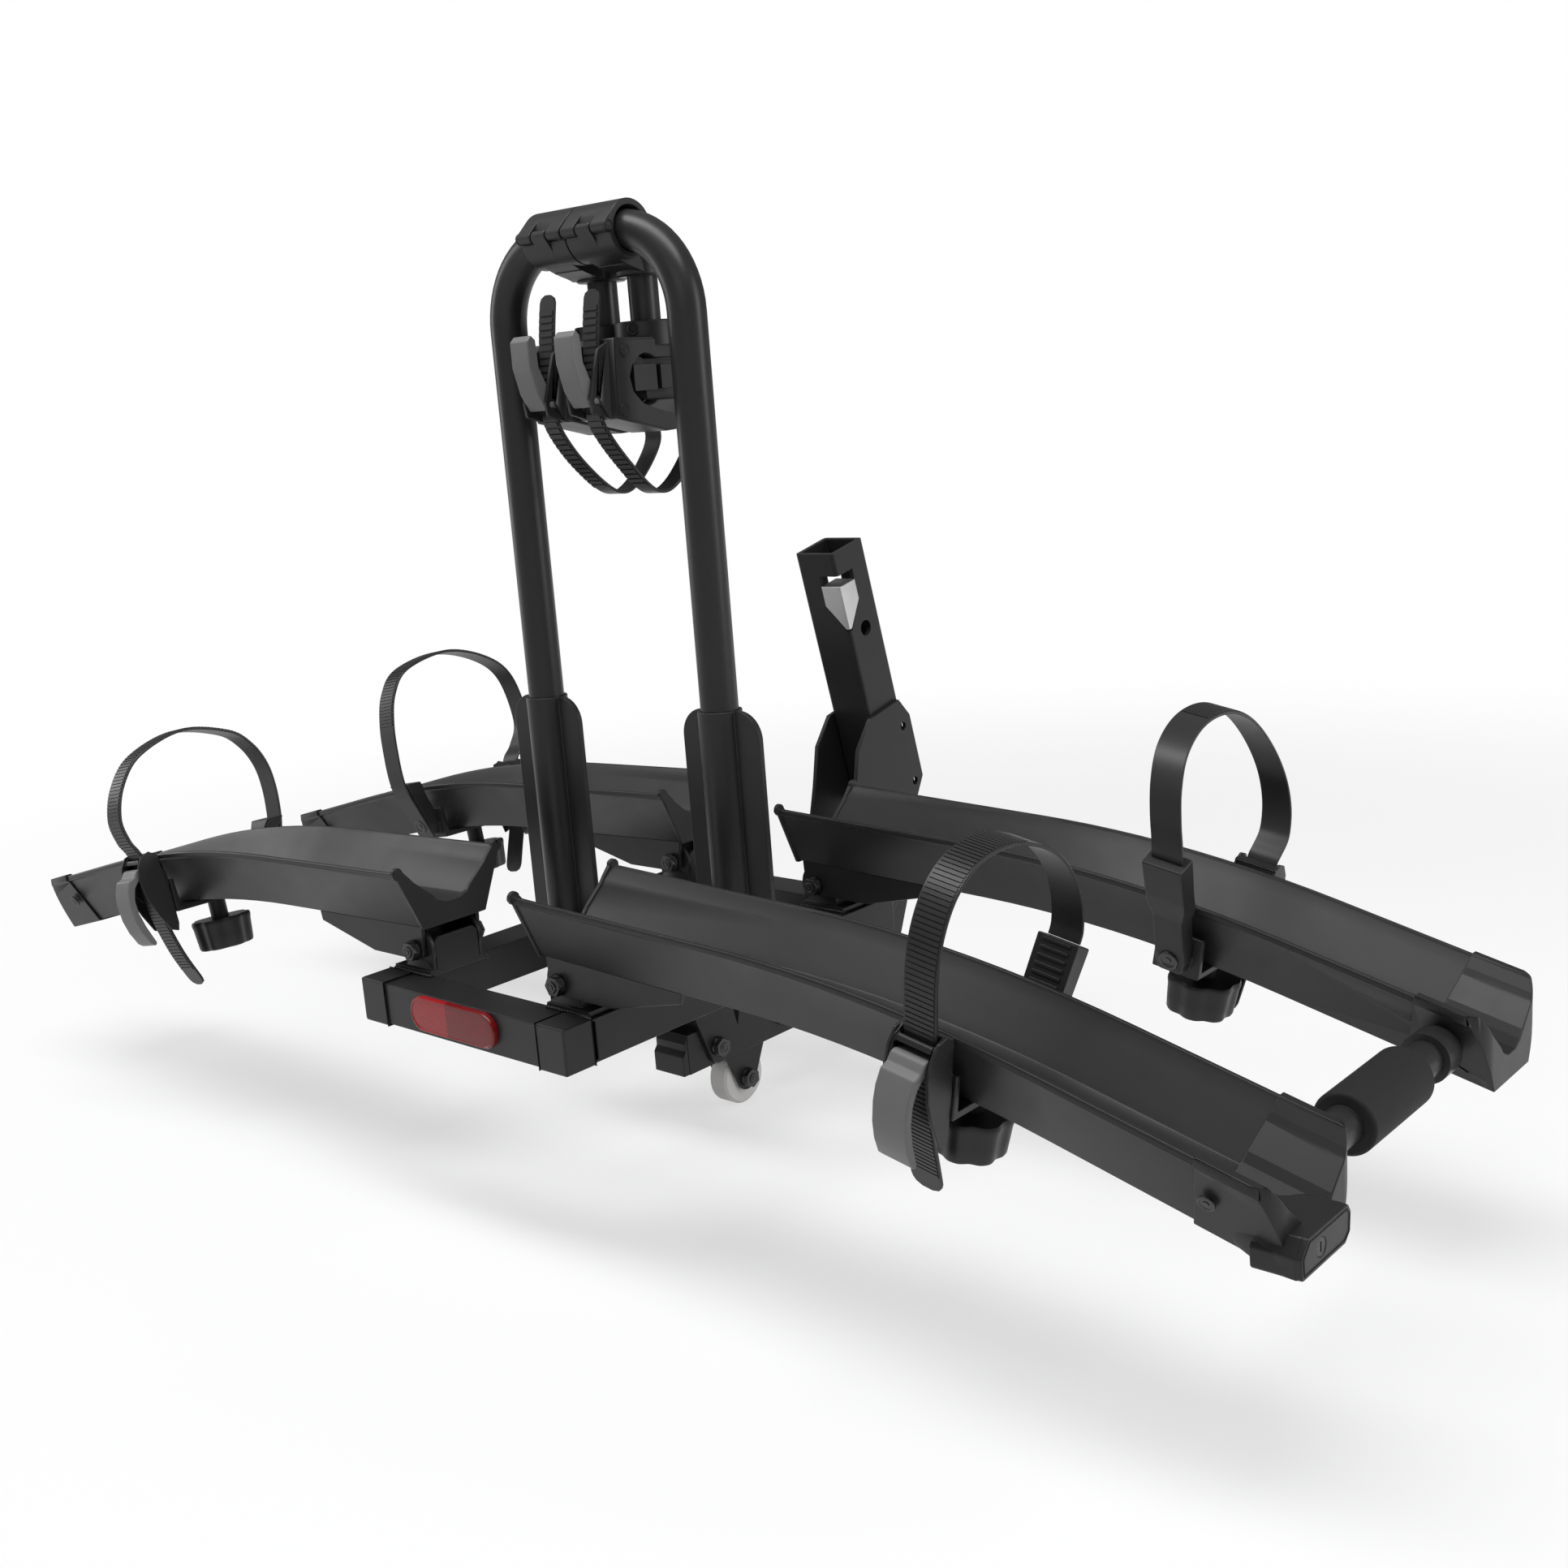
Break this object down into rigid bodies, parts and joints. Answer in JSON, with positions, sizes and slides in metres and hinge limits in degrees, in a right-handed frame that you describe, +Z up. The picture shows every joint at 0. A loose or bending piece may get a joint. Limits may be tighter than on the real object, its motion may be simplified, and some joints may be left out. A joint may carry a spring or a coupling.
{
  "type": "hitch bicycle rack",
  "caption": "Hitch rack for electric bicycles: arched trays with ratchet wheel straps on a square-tube frame, an upright hoop with strap arms, and a folding tongue.",
  "frame": {"origin": "centre of the hitch pin hole through the folded-up tongue, on the rack's centre plane", "axes": "+X along the wheel trays to the handle's side, +Y towards the towing vehicle, +Z up"},
  "size_m": [1.508, 0.6597, 0.8685],
  "materials": {
    "powder_coat": "satin",
    "tray_aluminium": "satin",
    "black_plastic": "matte",
    "strap_plastic": "satin",
    "grey_plastic": "satin",
    "white_nylon": "satin",
    "red_reflector": "gloss",
    "zinc_steel": "satin",
    "bright_zinc": "satin",
    "satin_rod": "satin",
    "cast_collar": "satin",
    "foam": "matte"
  },
  "bodies": {
    "frame": {"deck_frame": "powder_coat", "beam_caps": "black_plastic", "reflector": "red_reflector", "centre_beam": "powder_coat", "beam_cap": "black_plastic", "beam_plates": "powder_coat", "wheel_fork": "powder_coat", "beam_bolts": "zinc_steel", "mast": "powder_coat", "mast_wings": "powder_coat", "tray_feet": "powder_coat", "tray_pivots": "zinc_steel", "tongue_pivot": "zinc_steel"},
    "wheel": {"wheel": "white_nylon"},
    "tongue": {"tongue_tube": "powder_coat", "tongue_plates": "powder_coat"},
    "wedge": {"tongue_wedge": "bright_zinc"},
    "right_trays": {"tray_near_right": "tray_aluminium", "tray_far_right": "tray_aluminium", "tray_cap_near_right": "black_plastic", "tray_cap_far_right": "black_plastic", "hinge_plates_right": "powder_coat", "handle_rod": "satin_rod", "handle_grip": "foam", "lock_housing": "black_plastic"},
    "lock": {"lock_barrel": "zinc_steel"},
    "near_left_tray": {"tray_near_left": "tray_aluminium", "tray_cap_near_left": "black_plastic", "hinge_plates_near_left": "powder_coat"},
    "far_left_tray": {"tray_far_left": "tray_aluminium", "tray_cap_far_left": "black_plastic", "hinge_plates_far_left": "powder_coat"},
    "carriage_near_right": {"clamp_near_right": "black_plastic", "strap_near_right": "strap_plastic"},
    "lever_near_right": {"lever_near_right": "grey_plastic"},
    "knob_near_right": {"knob_near_right": "black_plastic"},
    "carriage_far_right": {"clamp_far_right": "black_plastic", "strap_far_right": "strap_plastic"},
    "lever_far_right": {"lever_far_right": "grey_plastic"},
    "knob_far_right": {"knob_far_right": "black_plastic"},
    "carriage_near_left": {"clamp_near_left": "black_plastic", "strap_near_left": "strap_plastic"},
    "lever_near_left": {"lever_near_left": "grey_plastic"},
    "knob_near_left": {"knob_near_left": "black_plastic"},
    "carriage_far_left": {"clamp_far_left": "black_plastic", "strap_far_left": "strap_plastic"},
    "lever_far_left": {"lever_far_left": "grey_plastic"},
    "knob_far_left": {"knob_far_left": "black_plastic"},
    "arm_left": {"arm_collar_left": "cast_collar", "arm_post_left": "satin_rod", "arm_head_left": "black_plastic", "arm_strap_left": "strap_plastic"},
    "arm_lever_left": {"arm_lever_left": "grey_plastic"},
    "arm_right": {"arm_collar_right": "cast_collar", "arm_post_right": "satin_rod", "arm_head_right": "black_plastic", "arm_strap_right": "strap_plastic"},
    "arm_lever_right": {"arm_lever_right": "grey_plastic"}
  },
  "joints": [
    {"name": "wheel_spin", "type": "hinge", "parent": "frame", "child": "wheel", "pos_m": [0, -0.22201, -0.42366], "axis": [1, 0, 0], "continuous": true},
    {"name": "tongue_fold", "type": "hinge", "parent": "frame", "child": "tongue", "pos_m": [0, -0.01121, -0.29216], "axis": [-1, 0, 0], "range_deg": [0, 103.7]},
    {"name": "wedge_slide", "type": "slide", "parent": "tongue", "child": "wedge", "axis": [0, -0.2368, 0.9715], "range_m": [0, 0.0025]},
    {"name": "right_trays_fold", "type": "hinge", "parent": "frame", "child": "right_trays", "pos_m": [0.0974, -0.32321, -0.22086], "axis": [0, -1, 0], "range_deg": [0, 60]},
    {"name": "near_left_fold", "type": "hinge", "parent": "frame", "child": "near_left_tray", "pos_m": [-0.0974, -0.48822, -0.22086], "axis": [0, 1, 0], "range_deg": [0, 60]},
    {"name": "far_left_fold", "type": "hinge", "parent": "frame", "child": "far_left_tray", "pos_m": [-0.0974, -0.15821, -0.22086], "axis": [0, 1, 0], "range_deg": [0, 60]},
    {"name": "lock_turn", "type": "hinge", "parent": "right_trays", "child": "lock", "pos_m": [0.754, -0.50821, -0.27766], "axis": [1, 0, 0], "range_deg": [0, 90]},
    {"name": "clamp_travel_near_right", "type": "hinge", "parent": "right_trays", "child": "carriage_near_right", "pos_m": [0.2439, -0.48822, -1.52382], "axis": [0, 1, 0], "range_deg": [-2, 2]},
    {"name": "lever_open_near_right", "type": "hinge", "parent": "carriage_near_right", "child": "lever_near_right", "pos_m": [0.50432, -0.56822, -0.18996], "axis": [-0.9815, 0, 0.1916], "range_deg": [0, 75]},
    {"name": "knob_turn_near_right", "type": "hinge", "parent": "carriage_near_right", "child": "knob_near_right", "pos_m": [0.48975, -0.48822, -0.26455], "axis": [0.1916, 0, 0.9815], "range_deg": [-360, 360]},
    {"name": "clamp_travel_far_right", "type": "hinge", "parent": "right_trays", "child": "carriage_far_right", "pos_m": [0.2439, -0.15821, -1.52382], "axis": [0, 1, 0], "range_deg": [-2, 2]},
    {"name": "lever_open_far_right", "type": "hinge", "parent": "carriage_far_right", "child": "lever_far_right", "pos_m": [0.50729, -0.07822, -0.19054], "axis": [0.981, 0, -0.1938], "range_deg": [0, 75]},
    {"name": "knob_turn_far_right", "type": "hinge", "parent": "carriage_far_right", "child": "knob_far_right", "pos_m": [0.49256, -0.15821, -0.2651], "axis": [0.1938, 0, 0.981], "range_deg": [-360, 360]},
    {"name": "clamp_travel_near_left", "type": "hinge", "parent": "near_left_tray", "child": "carriage_near_left", "pos_m": [-0.2439, -0.48822, -1.52382], "axis": [0, -1, 0], "range_deg": [-2, 2]},
    {"name": "lever_open_near_left", "type": "hinge", "parent": "carriage_near_left", "child": "lever_near_left", "pos_m": [-0.49739, -0.56822, -0.18862], "axis": [-0.9825, 0, -0.1865], "range_deg": [0, 75]},
    {"name": "knob_turn_near_left", "type": "hinge", "parent": "carriage_near_left", "child": "knob_near_left", "pos_m": [-0.48321, -0.48822, -0.26329], "axis": [-0.1865, 0, 0.9825], "range_deg": [-360, 360]},
    {"name": "clamp_travel_far_left", "type": "hinge", "parent": "far_left_tray", "child": "carriage_far_left", "pos_m": [-0.2439, -0.15821, -1.52382], "axis": [0, -1, 0], "range_deg": [-2, 2]},
    {"name": "lever_open_far_left", "type": "hinge", "parent": "carriage_far_left", "child": "lever_far_left", "pos_m": [-0.47165, -0.07822, -0.18399], "axis": [0.9859, 0, 0.1676], "range_deg": [0, 75]},
    {"name": "knob_turn_far_left", "type": "hinge", "parent": "carriage_far_left", "child": "knob_far_left", "pos_m": [-0.45892, -0.15821, -0.25892], "axis": [-0.1676, 0, 0.9859], "range_deg": [-360, 360]},
    {"name": "arm_swing_left", "type": "hinge", "parent": "frame", "child": "arm_left", "pos_m": [-0.0284, -0.32121, 0.39184], "axis": [1, 0, 0], "range_deg": [-20, 40]},
    {"name": "arm_lever_open_left", "type": "hinge", "parent": "arm_left", "child": "arm_lever_left", "pos_m": [-0.0284, -0.36722, 0.24984], "axis": [1, 0, 0], "range_deg": [0, 70]},
    {"name": "arm_swing_right", "type": "hinge", "parent": "frame", "child": "arm_right", "pos_m": [0.029, -0.32121, 0.39184], "axis": [1, 0, 0], "range_deg": [-20, 40]},
    {"name": "arm_lever_open_right", "type": "hinge", "parent": "arm_right", "child": "arm_lever_right", "pos_m": [0.029, -0.36722, 0.24984], "axis": [1, 0, 0], "range_deg": [0, 70]}
  ]
}
